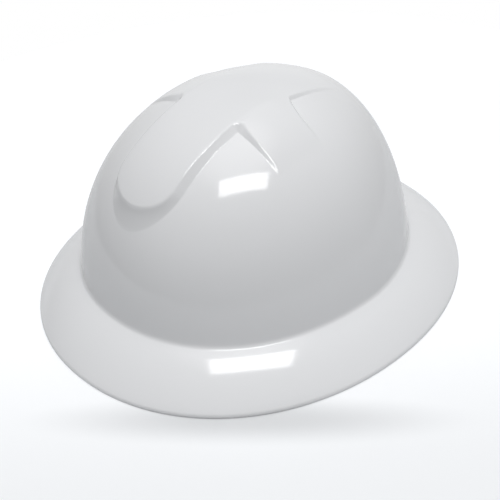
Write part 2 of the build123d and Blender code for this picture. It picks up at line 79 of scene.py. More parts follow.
def finishPiece(name, bm, material, smooth=True):
    mesh = bpy.data.meshes.new(name)
    bm.to_mesh(mesh)
    bm.free()
    for face in mesh.polygons:
        face.use_smooth = smooth
    piece = bpy.data.objects.new(name, mesh)
    bpy.context.scene.collection.objects.link(piece)
    mesh.materials.append(material)
    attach(piece, carrier)
    return piece


# Materials
# Polyethylene, injection moulded and polished: bright white, slightly soft gloss, a faint orange peel
def glossyPolyethylene():
    look = dict(
        colour="#E9EAEC", roughness=0.1, ior=1.54, gloss=0.44, peelSize=3.0, peelDetail=2.0,
        peelDepth=0.035, peelShare=0.25)
    material, shader = newMaterial("whitePolyethylene")
    place = addNode(material, "ShaderNodeTexCoord")
    peel = addNode(material, "ShaderNodeTexNoise", {
        "Vector": place.outputs["Object"], "Scale": 1 / (look["peelSize"] * mm),
        "Detail": look["peelDetail"]})
    bump = addNode(material, "ShaderNodeBump", {
        "Height": peel.outputs["Fac"], "Strength": look["peelShare"], "Distance": look["peelDepth"] * mm})
    shader.inputs["Base Color"].default_value = hexColour(look["colour"])
    shader.inputs["Roughness"].default_value = look["roughness"]
    shader.inputs["IOR"].default_value = look["ior"]
    shader.inputs["Specular IOR Level"].default_value = look["gloss"]
    link(material, bump.outputs["Normal"], shader.inputs["Normal"])
    return material


# Moulded polymer: dull black with a spark-eroded grain that breaks up the gloss
def mouldedPolymer(name, colour, roughness, grain=0.9):
    look = dict(grainDetail=3.0, grainDepth=0.06, grainShare=0.35, smoother=0.06, rougher=0.08)
    material, shader = newMaterial(name)
    place = addNode(material, "ShaderNodeTexCoord")
    pits = addNode(material, "ShaderNodeTexNoise", {
        "Vector": place.outputs["Object"], "Scale": 1 / (grain * mm), "Detail": look["grainDetail"]})
    bump = addNode(material, "ShaderNodeBump", {
        "Height": pits.outputs["Fac"], "Strength": look["grainShare"], "Distance": look["grainDepth"] * mm})
    spread = addNode(material, "ShaderNodeMapRange", {
        "Value": pits.outputs["Fac"], "To Min": roughness - look["smoother"],
        "To Max": roughness + look["rougher"]})
    shader.inputs["Base Color"].default_value = hexColour(colour)
    link(material, spread.outputs["Result"], shader.inputs["Roughness"])
    link(material, bump.outputs["Normal"], shader.inputs["Normal"])
    return material


# Zinc-plated steel: bright grey metal with fine turning marks
def platedSteel():
    look = dict(
        colour="#C9CACC", roughness=0.32, markSize=0.25, markDetail=2.0, markDepth=0.01, markShare=0.2)
    material, shader = newMaterial("platedSteel")
    place = addNode(material, "ShaderNodeTexCoord")
    marks = addNode(material, "ShaderNodeTexNoise", {
        "Vector": place.outputs["Object"], "Scale": 1 / (look["markSize"] * mm),
        "Detail": look["markDetail"]})
    bump = addNode(material, "ShaderNodeBump", {
        "Height": marks.outputs["Fac"], "Strength": look["markShare"], "Distance": look["markDepth"] * mm})
    shader.inputs["Base Color"].default_value = hexColour(look["colour"])
    shader.inputs["Metallic"].default_value = 1.0
    shader.inputs["Roughness"].default_value = look["roughness"]
    link(material, bump.outputs["Normal"], shader.inputs["Normal"])
    return material


white = glossyPolyethylene()
print("materials made")

# The shell has the solid one's sizes, apart from how far its brim bows up. A power is that of an oval's
# outline, and a shape is the pair of powers of the crown's profile at the side, front and back. The last two
# rows say how finely it is divided
shellSizes = dict(
    rimWidth=143.8, rimLength=158.0, rimEdge=2.6, rimLip=3.0, rimRound=1.4, rimUnder=1.12, wall=2.4,
    rootHeight=29.3, top=145.8, shift=4.6, width=112.2, front=127.6, back=117.2, flare=0.122,
    underDrop=1.2, brimBow=2.6, creaseReach=2.6, rimPower=2.09, frontPower=2.13, backPower=1.88,
    powerBlend=1.5, sideShape=(2.20, 2.56), frontShape=(2.43, 2.17), backShape=(2.69, 3.04),
    turns=320, domeEnd=0.28, domeSteps=120, domeCrowding=2.2, wallSteps=12, innerSteps=18,
    brimSteps=10, creaseSteps=8, rimSteps=4)
# The raised crest is a fore-and-aft strip crossed by a band. In plan, its bevel leaves the crown at its foot
# and ends at its top. A rise is how far the top stands off the crown, and a run is how long a change takes
crestSizes = dict(
    footHalf=30.1, footFront=103.0, footCap=30.0, topHalf=24.8, topFront=93.4, topCap=16.5,
    rearFootHalf=30.5, rearTopHalf=28.3, rearFull=20.0, rearEnd=66.0,
    bandFront=27.4, bandRear=12.5, bandFlare=7.5, bandFlareLength=10.0, bandFull=28.0, bandEnd=66.0,
    bandBevel=2.2, bandBevelNearStrip=3.4, bandBevelLength=9.0, rearBevel=1.8, cornerPower=1.75,
    widenFrom=-10.0, widenRun=20.0, middleRise=1.9, middleFrom=-30.0, middleRun=62.0, edgeRise=3.4,
    edgeFrom=-40.0, edgeRun=45.0, frontRise=4.0, rearRise=2.1, rearRun=20.0, toe=0.05, shoulder=0.26,
    refineFrom=-0.3, refineTo=1.4, refineMargins=(0.0, 0.15), refineLeast=0.05)


# a value part of the way from one to another
def mix(a, b, share):
    return a + (b - a) * share


# a share held between 0 and 1, with a soft start and end
def ease(share):
    share = min(1, max(0, share))
    return share * share * (3 - 2 * share)


# a place on an egg-shaped outline, whose front and back differ in length and power
def ovalPoint(turn, width, front, back, frontPower, backPower, shift):
    toFront = ease(0.5 - sin(turn) * shellSizes["powerBlend"])
    power = mix(backPower, frontPower, toFront)
    length = front if sin(turn) < 0 else back
    across = copysign(abs(cos(turn)) ** (2 / power), cos(turn))
    along = copysign(abs(sin(turn)) ** (2 / power), sin(turn))
    return width * across, shift + length * along


# how far out the crown is at a level, where 0 is its foot and 1 its top
def crownReach(length, shape, level):
    s = shellSizes
    flare = (1 + s["flare"] * (1 - level)) / (1 + s["flare"])
    return length * max(0, 1 - level ** shape[0]) ** (1 / shape[1]) * flare


def crownPoint(turn, level, inset):
    s = shellSizes
    x, y = ovalPoint(
        turn, max(0, crownReach(s["width"], s["sideShape"], level) - inset),
        max(0, crownReach(s["front"], s["frontShape"], level) - inset),
        max(0, crownReach(s["back"], s["backShape"], level) - inset),
        s["frontPower"], s["backPower"], s["shift"])
    return Vector((x, y, s["rootHeight"] + (s["top"] - inset - s["rootHeight"]) * level))


def rimPoint(turn, inset, height):
    s = shellSizes
    x, y = ovalPoint(
        turn, s["rimWidth"] - inset, s["rimLength"] - inset, s["rimLength"] - inset,
        s["rimPower"], s["rimPower"], 0)
    return Vector((x, y, height))


# how far up the crest's bevel a place is: 0 at the foot, 1 at the top edge, beyond them outside and inside
def crestShare(x, y):
    c = crestSizes
    outer = abs(x)
    toRear = ease((y - c["widenFrom"]) / c["widenRun"])
    footHalf = mix(c["footHalf"], c["rearFootHalf"], toRear)
    topHalf = mix(c["topHalf"], c["rearTopHalf"], toRear)
    foot = hypot(outer / footHalf, min(0, y + c["footFront"] - c["footCap"]) / c["footCap"])
    top = hypot(outer / topHalf, min(0, y + c["topFront"] - c["topCap"]) / c["topCap"])
    if foot >= 1:
        strip = (1 - foot) * footHalf / (footHalf - topHalf)
    elif top <= 1:
        strip = 1 + (1 - top) * topHalf / (footHalf - topHalf)
    else:
        strip = (1 - foot) / (top - foot)
    beyond = max(0, outer - c["footHalf"])
    frontBevel = c["bandBevel"] + c["bandBevelNearStrip"] * exp(-beyond / c["bandBevelLength"])
    rearEdge = c["bandRear"] + c["bandFlare"] * exp(-beyond / c["bandFlareLength"])
    band = min((y + c["bandFront"]) / frontBevel, (rearEdge - y) / c["rearBevel"])
    if strip > 0 and band > 0:
        power = c["cornerPower"]
        return (strip ** power + band ** power) ** (1 / power)
    return max(strip, band)


# how high the crest's top stands off the crown at a place
def crestRise(x, y):
    c = crestSizes
    middle = mix(c["middleRise"], c["frontRise"], ease((c["middleFrom"] - y) / c["middleRun"]))
    edge = mix(c["edgeRise"], c["frontRise"], ease((c["edgeFrom"] - y) / c["edgeRun"]))
    edge = mix(edge, c["rearRise"], ease(y / c["rearRun"]))
    rise = mix(middle, edge, min(1, (x / c["topHalf"]) ** 2))
    sideward = (c["bandEnd"] - abs(x)) / (c["bandEnd"] - c["bandFull"])
    rearward = (c["rearEnd"] - y) / (c["rearEnd"] - c["rearFull"])
    return rise * min(1, max(0, sideward)) * min(1, max(0, rearward))


# how far a place is lifted: the bevel starts with a small hollow and ends with a small rounding
def crestLift(x, y):
    share, toe, shoulder = crestShare(x, y), crestSizes["toe"], crestSizes["shoulder"]
    if share <= -toe:
        return 0
    if share < toe:
        share = (share + toe) ** 2 / (4 * toe)
    elif share > 1 - shoulder:
        share = 1 - max(0, 1 + shoulder - share) ** 2 / (4 * shoulder)
    return crestRise(x, y) * share


# points on a curve from one place to another that is drawn towards a corner
def bend(a, corner, b, steps):
    shares = [i / steps for i in range(steps + 1)]
    return [a * (1 - t) ** 2 + corner * 2 * t * (1 - t) + b * t ** 2 for t in shares]


# levels from the top of a crown down, close together where the crest is
def crownLevels(steps, wallSteps, end):
    s = shellSizes
    low = s["domeEnd"] if wallSteps else end
    dome = [1 - ((i / steps) ** s["domeCrowding"]) * (1 - low) for i in range(steps)]
    wall = [mix(low, end, i / wallSteps) for i in range(wallSteps)]
    return dome + wall


# a place on the brim, which bows up a little on its way from one edge to the other
def bowed(a, b, share):
    return mix(a, b, share) + Vector((0, 0, 4 * shellSizes["brimBow"] * share * (1 - share)))


# one cut through the shell, from its top outside round the rim to its top inside
def shellCut(turn):
    s = shellSizes
    rootPoint = crownPoint(turn, 0, 0)
    rimTop = rimPoint(turn, 0, s["rimEdge"])
    startLevel = s["creaseReach"] / (s["top"] - s["rootHeight"])
    startShare = s["creaseReach"] / (rimTop - rootPoint).length
    endShare = 1 - s["rimRound"] / (rimTop - rootPoint).length
    points = [crownPoint(turn, level, 0) for level in crownLevels(
        s["domeSteps"], s["wallSteps"], startLevel)]
    brimStart = bowed(rootPoint, rimTop, startShare)
    points += bend(crownPoint(turn, startLevel, 0), rootPoint, brimStart, s["creaseSteps"])
    points += [
        bowed(rootPoint, rimTop, mix(startShare, endShare, i / s["brimSteps"]))
        for i in range(1, s["brimSteps"])]
    rimSide = rimPoint(turn, 0, s["rimEdge"] - s["rimRound"])
    points += bend(bowed(rootPoint, rimTop, endShare), rimTop, rimSide, s["rimSteps"])
    low = s["rimUnder"]
    points += bend(rimPoint(turn, 0, low), rimPoint(turn, 0, 0), rimPoint(turn, low, 0), s["rimSteps"])
    lip = rimPoint(turn, s["rimLip"], 0)
    innerRoot = crownPoint(turn, 0, s["wall"])
    innerFoot = Vector((innerRoot.x, innerRoot.y, s["rootHeight"] - s["underDrop"]))
    inShare = 1 - startShare / 2
    points += [bowed(lip, innerFoot, inShare * i / s["brimSteps"]) for i in range(s["brimSteps"])]
    innerStart = crownPoint(turn, startLevel, s["wall"])
    points += bend(bowed(lip, innerFoot, inShare), innerFoot, innerStart, s["creaseSteps"])
    points += [
        crownPoint(turn, level, s["wall"])
        for level in reversed(crownLevels(s["innerSteps"], 0, startLevel))]
    return [p * mm for p in points]


# cuts the faces along the crest's bevel smaller, so that its edges are crisp
def refineCrest(bm, outer):
    c = crestSizes
    for margin in c["refineMargins"]:
        zone = []
        for face in bm.faces:
            if not all(vert[outer] for vert in face.verts):
                continue
            if max(crestRise(v.co.x / mm, v.co.y / mm) for v in face.verts) < c["refineLeast"]:
                continue
            shares = [crestShare(v.co.x / mm, v.co.y / mm) for v in face.verts]
            if max(shares) > c["refineFrom"] + margin and min(shares) < c["refineTo"] - margin:
                zone.append(face)
        edges = list({edge for face in zone for edge in face.edges})
        bmesh.ops.subdivide_edges(bm, edges=edges, cuts=1, use_grid_fill=True)


# a line is spun once round, and each of its points is then put in its place on the shell's cut there
def makeShell():
    turns = shellSizes["turns"]
    cuts = {}
    stations = len(shellCut(0))
    outside = shellSizes["domeSteps"] + shellSizes["wallSteps"]
    bm = bmesh.new()
    line = [bm.verts.new((1, 0, i)) for i in range(stations)]
    edges = [bm.edges.new(pair) for pair in zip(line, line[1:])]
    bmesh.ops.spin(
        bm, geom=line + edges, cent=(0, 0, 0), axis=(0, 0, 1), steps=turns, angle=2 * pi,
        use_merge=True)
    outer = bm.verts.layers.float.new("outer")
    for vert in bm.verts:
        step = round(atan2(vert.co.y, vert.co.x) / (2 * pi) * turns) % turns
        if step not in cuts:
            cuts[step] = shellCut(step / turns * 2 * pi)
        station = round(vert.co.z)
        vert[outer] = 1.0 if station < outside else 0.0
        vert.co = cuts[step][station]
    bmesh.ops.remove_doubles(bm, verts=bm.verts, dist=hair * mm)
    bmesh.ops.recalc_face_normals(bm, faces=bm.faces)
    refineCrest(bm, outer)
    bm.normal_update()
    raised = [
        (vert, vert.normal * crestLift(vert.co.x / mm, vert.co.y / mm) * mm)
        for vert in bm.verts if vert[outer] == 1.0]
    for vert, rise in raised:
        vert.co += rise
    shell = finishPiece("hatShell", bm, white)
    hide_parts("shell")
    return shell


shellPiece = makeShell()
print("shell made", len(shellPiece.data.polygons))

# Sockets: blocks moulded inside the crown, each with a pocket that takes a key's tongue from below
socketSizes = dict(
    bottom=30.0, height=22.0, width=30.0, depth=7.5, pocketHeight=16.0, pocketWidth=22.0,
    pocketNear=6.0, pocketFar=3.4, bevel=0.7, bevelSteps=2, cuts=7)
socketHeadings = dict(FrontRight=-48, FrontLeft=-132, RearRight=48, RearLeft=132)


# how far out along a heading the crown's wall stands, at an inset from its outside
def wallDistance(heading, sideways, height, inset):
    s = shellSizes
    end = "front" if heading.y < 0 else "back"
    level = (height - s["rootHeight"]) / (s["top"] - s["rootHeight"])
    width = crownReach(s["width"], s["sideShape"], level) - inset
    length = crownReach(s[end], s[end + "Shape"], level) - inset
    power = s[end + "Power"]
    near, far = 0, s["rimLength"]
    while far - near > hair:
        middle = (near + far) / 2
        place = heading * middle + Vector((-heading.y, heading.x, 0)) * sideways
        if (abs(place.x) / width) ** power + (abs(place.y) / length) ** power < 1:
            near = middle
        else:
            far = middle
    return near


# the block is made lying along X, then turned to its heading with its outer face laid in the crown's wall
def makeSocket(name, angle):
    s = socketSizes
    heading = Vector((cos(radians(angle)), sin(radians(angle)), 0))
    reach = wallDistance(heading, 0, shellSizes["rootHeight"], shellSizes["wall"])
    bm = bmesh.new()
    bmesh.ops.create_cube(bm, size=1.0)
    for vert in bm.verts:
        vert.co = Vector((
            reach + (vert.co.x - 0.5) * s["depth"], vert.co.y * s["width"],
            s["bottom"] + (vert.co.z + 0.5) * s["height"]))
    bm.normal_update()
    mouth = next(face for face in bm.faces if face.normal.z < -alike)
    outside = next(face for face in bm.faces if face.normal.x > alike)
    lip = next(face for face in bm.faces if face.normal.x < -alike)
    bmesh.ops.inset_individual(bm, faces=[mouth], thickness=s["bevel"])
    for vert in mouth.verts:
        far = vert.co.x > reach - s["depth"] / 2
        vert.co.x = reach - (s["pocketFar"] if far else s["pocketNear"])
        vert.co.y = copysign(s["pocketWidth"] / 2, vert.co.y)
    pocket = bmesh.ops.extrude_discrete_faces(bm, faces=[mouth])["faces"][0]
    for vert in pocket.verts:
        vert.co.z += s["pocketHeight"]
    bmesh.ops.subdivide_edges(bm, edges=outside.edges[:], cuts=s["cuts"], use_grid_fill=True)
    rounded = [e for e in lip.edges if max(vert.co.z for vert in e.verts) > s["bottom"] + hair]
    bmesh.ops.bevel(
        bm, geom=rounded, offset=s["bevel"], segments=s["bevelSteps"], profile=roundProfile, material=-1,
        affect="EDGES")
    for vert in bm.verts:
        away = vert.co.x
        if away > reach - hair:
            away = wallDistance(heading, vert.co.y, vert.co.z, shellSizes["wall"] / 2)
        place = heading * away + Vector((-heading.y, heading.x, 0)) * vert.co.y
        vert.co = Vector((place.x, place.y + shellSizes["shift"], vert.co.z)) * mm
    bmesh.ops.recalc_face_normals(bm, faces=bm.faces)
    finishPiece("socket" + name, bm, white, smooth=False)


for name, angle in socketHeadings.items():
    makeSocket(name, angle)
print("sockets made")

# The solid pieces that stay as they are get their finishes
blackBand = mouldedPolymer("blackPolyethylene", colour="#232426", roughness=0.42)
blackNylon = mouldedPolymer("blackNylon", colour="#1D1E20", roughness=0.5, grain=0.7)
naturalAcetal = mouldedPolymer("naturalAcetal", colour="#E6E2D6", roughness=0.35)
steel = platedSteel()
nodeFinishes = {
    "key_front_left": blackBand, "key_front_right": blackBand, "key_rear_left": blackBand,
    "key_rear_right": blackBand, "headband": blackBand, "nape_strap_left": blackBand,
    "nape_strap_right": blackBand, "ratchet_housing": blackNylon, "ratchet_inner_cover": blackNylon,
    "ratchet_knob": blackNylon, "pinion_gear": naturalAcetal, "knob_screw": steel, "knob_washer": steel,
    "housing_screws": steel, "detent_spring": steel}
for name, material in nodeFinishes.items():
    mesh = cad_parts[name].data
    mesh.materials.clear()
    mesh.materials.append(material)
print("nodes finished")


# Woven polyester: charcoal yarns over and under, drawn from the strap's own UV map in metres
def wovenPolyester(name, colour, yarn=1.1, floatLength=2.6, depth=0.22):
    look = dict(gap=0.16, rowShift=0.5, reliefShare=0.8, roughness=0.8, sheen=0.25, sheenRoughness=0.5)
    material, shader = newMaterial(name)
    place = addNode(material, "ShaderNodeUVMap", uv_map="weave")
    yarns = addNode(material, "ShaderNodeTexBrick", {
        "Vector": place.outputs["UV"], "Color1": hexColour(colour[0]), "Color2": hexColour(colour[1]),
        "Mortar": hexColour(colour[2]), "Scale": 1 / mm, "Mortar Size": yarn * look["gap"],
        "Mortar Smooth": 1.0, "Brick Width": floatLength, "Row Height": yarn}, offset=look["rowShift"])
    bump = addNode(material, "ShaderNodeBump", {
        "Height": yarns.outputs["Fac"], "Strength": look["reliefShare"], "Distance": depth * mm},
        invert=True)
    shader.inputs["Roughness"].default_value = look["roughness"]
    shader.inputs["Sheen Weight"].default_value = look["sheen"]
    shader.inputs["Sheen Roughness"].default_value = look["sheenRoughness"]
    link(material, yarns.outputs["Color"], shader.inputs["Base Color"])
    link(material, bump.outputs["Normal"], shader.inputs["Normal"])
    return material


# Brushed knit over foam: soft dark grey with a short nap, no gloss
def brushedKnit(name, light, dark):
    look = dict(
        loopSize=0.9, loopDepth=0.25, loopShare=0.7, unevenness=0.7, napScale=260.0, napDetail=4.0,
        roughness=0.92, sheen=0.45, sheenRoughness=0.4)
    material, shader = newMaterial(name)
    place = addNode(material, "ShaderNodeTexCoord")
    loops = addNode(material, "ShaderNodeTexVoronoi", {
        "Vector": place.outputs["Object"], "Scale": 1 / (look["loopSize"] * mm),
        "Randomness": look["unevenness"]})
    nap = addNode(material, "ShaderNodeTexNoise", {
        "Vector": place.outputs["Object"], "Scale": look["napScale"], "Detail": look["napDetail"]})
    shade = addNode(material, "ShaderNodeMix", {
        "Factor": nap.outputs["Fac"], "A": hexColour(dark), "B": hexColour(light)}, data_type="RGBA")
    bump = addNode(material, "ShaderNodeBump", {
        "Height": loops.outputs["Distance"], "Strength": look["loopShare"],
        "Distance": look["loopDepth"] * mm})
    shader.inputs["Roughness"].default_value = look["roughness"]
    shader.inputs["Sheen Weight"].default_value = look["sheen"]
    shader.inputs["Sheen Roughness"].default_value = look["sheenRoughness"]
    link(material, shade.outputs["Result"], shader.inputs["Base Color"])
    link(material, bump.outputs["Normal"], shader.inputs["Normal"])
    return material


webbing = wovenPolyester("wovenPolyester", colour=("#3A3C40", "#2E3034", "#1B1C1E"))
knit = brushedKnit("brushedKnit", light="#393A3E", dark="#2A2B2E")
thread = wovenPolyester(
    "sewingThread", colour=("#5A5C60", "#505256", "#2C2D30"), yarn=0.3, floatLength=0.8, depth=0.05)

# Crown straps: each runs up from one key, over the head and down to the key opposite. Their long edges are
# thinner, and a stitch is given by its thickness, length and height
strapSizes = dict(
    width=19.0, thickness=1.4, footHeight=18.7, shoulder=88.0, top=114.0, rearEnd=100.5, frontEnd=-110.6,
    shoulderRadius=70.0, topRadius=150.0, arcSteps=24, stretch=150, across=10, edgeDrop=0.25, edgePower=8,
    hemHeight=2.7, hemRound=0.5, hemSteps=3, stitches=7, stitchPitch=2.6, stitch=(0.4, 2.0, 0.5),
    stitchSides=8, stitchRings=6)
strapPlaces = dict(upper=dict(angle=48, lowered=0.0), lower=dict(angle=132, lowered=2.0))


# points at even lengths along runs whose corners are rounded, each with its direction, and the whole length
def roundedPath(corners, radii, count):
    parts = []
    last = Vector(corners[0])
    for i in range(1, len(corners) - 1):
        here = Vector(corners[i])
        back = (Vector(corners[i - 1]) - here).normalized()
        ahead = (Vector(corners[i + 1]) - here).normalized()
        half = back.angle(ahead) / 2
        reach = radii[i - 1] / (sin(half) / cos(half))
        start = here + back * reach
        centre = here + (back + ahead).normalized() * radii[i - 1] / sin(half)
        parts.append((last, start))
        startArm, endArm = (start - centre).normalized(), (here + ahead * reach - centre).normalized()
        arms = [
            startArm.slerp(endArm, k / strapSizes["arcSteps"]).normalized()
            for k in range(strapSizes["arcSteps"] + 1)]
        arc = [centre + arm * radii[i - 1] for arm in arms]
        parts.extend(zip(arc, arc[1:]))
        last = here + ahead * reach
    parts.append((last, Vector(corners[-1])))
    lengths = [(b - a).length for a, b in parts]
    total = sum(lengths)
    points = []
    for k in range(count + 1):
        want = total * k / count
        for (a, b), size in zip(parts, lengths):
            if want <= size + speck:
                share = min(1, want / max(size, speck))
                points.append((a + (b - a) * share, (b - a).normalized()))
                break
            want -= size
    return points, total


def makeStrap(name, angle, lowered):
    s = strapSizes
    front, rear, shoulder = s["frontEnd"], s["rearEnd"], s["shoulder"] - lowered
    corners = [
        (front, s["footHeight"]), (front, shoulder), (0, s["top"] - lowered), (rear, shoulder),
        (rear, s["footHeight"])]
    points, total = roundedPath(
        corners, (s["shoulderRadius"], s["topRadius"], s["shoulderRadius"]), s["stretch"])
    along = Vector((cos(radians(angle)), sin(radians(angle)), 0))
    across = Vector((-along.y, along.x, 0))
    bm = bmesh.new()
    bmesh.ops.create_grid(bm, x_segments=s["stretch"], y_segments=s["across"], size=0.5)
    weave = bm.loops.layers.uv.new("weave")
    for face in bm.faces:
        for loop in face.loops:
            loop[weave].uv = ((loop.vert.co.x + 0.5) * total * mm, loop.vert.co.y * s["width"] * mm)
    for vert in bm.verts:
        point, way = points[round((vert.co.x + 0.5) * s["stretch"])]
        side = vert.co.y * 2
        normal = Vector((-way.y, way.x))
        if normal.y < 0 or (abs(normal.y) < slight and normal.x * point.x < 0):
            normal = -normal
        flat = point + normal * (s["thickness"] / 2 - s["edgeDrop"] * side ** s["edgePower"])
        place = Vector((0, shellSizes["shift"], 0)) + along * flat.x + across * side * s["width"] / 2
        vert.co = (place + Vector((0, 0, flat.y))) * mm
    bmesh.ops.recalc_face_normals(bm, faces=bm.faces)
    if sum(f.normal.z for f in bm.faces) < 0:
        bmesh.ops.reverse_faces(bm, faces=bm.faces)
    bmesh.ops.solidify(bm, geom=bm.faces[:], thickness=s["thickness"] * mm)
    strap = finishPiece("webbing_" + name, bm, webbing)
    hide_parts("crown_strap_" + name)


# the strap's end is folded to both sides and sewn, so that it can't slip up through the key's slot
def makeHem(name, angle, end):
    s = strapSizes
    middle = Vector((0, shellSizes["shift"], s["footHeight"] + s["hemHeight"] / 2)) * mm
    foot = Matrix.Translation(middle) @ Matrix.Rotation(radians(angle), 4, "Z")
    folds, sewing = bmesh.new(), bmesh.new()
    for side in (-1, 1):
        layer = foot @ Matrix.Translation(Vector((end + side * s["thickness"], 0, 0)) * mm)
        size = Matrix.Diagonal((s["thickness"], s["width"], s["hemHeight"], 1))
        bmesh.ops.create_cube(folds, size=mm, matrix=layer @ size)
        for i in range(s["stitches"]):
            along = (i - (s["stitches"] - 1) / 2) * s["stitchPitch"]
            place = layer @ Matrix.Translation(Vector((side * s["thickness"] / 2, along, 0)) * mm)
            bmesh.ops.create_uvsphere(
                sewing, u_segments=s["stitchSides"], v_segments=s["stitchRings"], radius=mm / 2,
                matrix=place @ Matrix.Diagonal((*s["stitch"], 1)))
    across = (foot.to_3x3() @ Vector((0, 1, 0))).normalized()
    ridges = [
        edge for edge in folds.edges
        if abs((edge.verts[1].co - edge.verts[0].co).normalized().dot(across)) > alike]
    bmesh.ops.bevel(
        folds, geom=ridges, offset=s["hemRound"] * mm, segments=s["hemSteps"], profile=roundProfile,
        material=-1, affect="EDGES")
    for bm, piece, material in ((folds, "hem", webbing), (sewing, "hemSewing", thread)):
        weave = bm.loops.layers.uv.new("weave")
        for face in bm.faces:
            for loop in face.loops:
                loop[weave].uv = (loop.vert.co.z, loop.vert.co.dot(across))
        finishPiece(piece + name, bm, material)


for name, place in strapPlaces.items():
    makeStrap(name, place["angle"], place["lowered"])
    makeHem("Rear" + name.capitalize(), place["angle"], strapSizes["rearEnd"])
    makeHem("Front" + name.capitalize(), place["angle"], strapSizes["frontEnd"])
print("straps made")


# Pads: closed curved cushions whose inner face crowns between sewn lines. The spread is an angle, and swell
# is how far from a seam the face takes to rise
padSizes = dict(
    thickness=3.2, hem=1.0, level=20.0, height=28.0, corner=6.0, seam=1.6, swell=1.6, channelWidth=0.9,
    channelDepth=0.75, backGap=0.05, backTuck=0.25, high=24)
browSizes = dict(
    padSizes, outer=79.7, centre=-20.0, middle=-90, spread=140, along=160,
    channels=(-72, -48, -24, 0, 24, 48, 72))
napeSizes = dict(
    padSizes, outer=73.8, thickness=3.4, centre=14.0, middle=90, spread=25, along=40, channels=())


# where a place on a pad's flat cut goes: u and v run from -1 to 1 along and up it
def padPoint(s, u, v, isBack):
    halfLength, halfHeight = radians(s["spread"]) * s["outer"] / 2, s["height"] / 2
    angle = radians(s["middle"] + u * s["spread"] / 2)
    height = halfHeight * v
    # the corners are rounded by drawing the ends in
    overLength = max(0, abs(u) * halfLength - halfLength + s["corner"])
    overHeight = max(0, abs(height) - halfHeight + s["corner"])
    if hypot(overLength, overHeight) > s["corner"]:
        kept = s["corner"] / hypot(overLength, overHeight)
        angle -= copysign(overLength * (1 - kept) / s["outer"], u)
        height -= copysign(overHeight * (1 - kept), v)
    edgeAway = min((1 - abs(u)) * halfLength, (1 - abs(v)) * halfHeight)
    crown = 1 - exp(-max(0, edgeAway - s["seam"]) / s["swell"])
    for channel in s["channels"]:
        crown *= 1 - s["channelDepth"] * exp(-((u * halfLength - channel) / s["channelWidth"]) ** 2)
    if isBack:
        radius = s["outer"] - s["backGap"] - s["backTuck"] * (1 - crown)
    else:
        radius = s["outer"] - s["hem"] - (s["thickness"] - s["hem"]) * crown
    return Vector((radius * cos(angle), s["centre"] + radius * sin(angle), s["level"] + height)) * mm


def makePad(name, node, sizes):
    bm = bmesh.new()
    bmesh.ops.create_grid(bm, x_segments=sizes["along"], y_segments=sizes["high"], size=0.5)
    copied = bmesh.ops.duplicate(bm, geom=bm.verts[:] + bm.edges[:] + bm.faces[:])
    backVerts = {part for part in copied["geom"] if isinstance(part, bmesh.types.BMVert)}
    outline = [edge for edge in bm.edges if edge.is_boundary]
    for vert in bm.verts:
        vert.co = padPoint(sizes, vert.co.x * 2, vert.co.y * 2, vert in backVerts)
    bmesh.ops.bridge_loops(bm, edges=outline)
    bmesh.ops.recalc_face_normals(bm, faces=bm.faces)
    pad = finishPiece(name, bm, knit)
    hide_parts(node)


makePad("browPad", "sweatband", browSizes)
makePad("napeCushion", "nape_pad", napeSizes)
print("pads made")

# Camera: the photograph's place, aim and tilt
cameraSettings = dict(
    place=(0.45849, -0.38924, 0.46867), aim=(0.01559, -0.01282, 0.03124), tilt=radians(4.526),
    lens=73.845, sensor=36.0, nearest=0.01)
backward = (Vector(cameraSettings["place"]) - Vector(cameraSettings["aim"])).normalized()
level = Vector((0, 0, 1)).cross(backward).normalized()
upward = backward.cross(level)
tilt = cameraSettings["tilt"]
sideAxis = level * cos(tilt) - upward * sin(tilt)
upAxis = level * sin(tilt) + upward * cos(tilt)
camera = bpy.data.objects.new("camera", bpy.data.cameras.new("camera"))
camera.data.lens = cameraSettings["lens"]
camera.data.sensor_width = cameraSettings["sensor"]
camera.data.clip_start = cameraSettings["nearest"]
turned = Matrix((sideAxis, upAxis, backward)).transposed().to_4x4()
camera.matrix_world = Matrix.Translation(cameraSettings["place"]) @ turned
bpy.context.scene.collection.objects.link(camera)
bpy.context.scene.camera = camera


# Light: one long soft panel high on the viewer's side, and a room that is brightest overhead
panelSizes = dict(
    place=(1.67, -0.98, 4.753), aim=(0.03, -0.06, 0.13), along=(0.656, 0.755, 0), length=2.98,
    width=1.10, power=91)


def addPanel(name, sizes):
    light = bpy.data.lights.new(name, "AREA")
    light.shape = "RECTANGLE"
    light.size, light.size_y = sizes["length"], sizes["width"]
    light.energy = sizes["power"]
    lamp = bpy.data.objects.new(name, light)
    away = (Vector(sizes["place"]) - Vector(sizes["aim"])).normalized()
    short = away.cross(Vector(sizes["along"])).normalized()
    turned = Matrix((short.cross(away), short, away)).transposed().to_4x4()
    lamp.matrix_world = Matrix.Translation(sizes["place"]) @ turned
    bpy.context.scene.collection.objects.link(lamp)


addPanel("longPanel", panelSizes)

world = bpy.data.worlds.new("room")
bpy.context.scene.world = world
world.use_nodes = True
# The room's light by direction: its levels low down, at middle height and overhead, and the rises between
# which each gives way to the next. The turn puts X to the viewer's right
roomSizes = dict(
    turn=-0.8664, farLow=0.79, rightLow=0.22, foreAndAft=0.26, leftSide=0.34, rightSide=0.5,
    overhead=0.61, peak=1.70, toMiddle=(0.05, 0.5), toTop=(0.55, 0.95), toPeak=(0.86, 1.0))


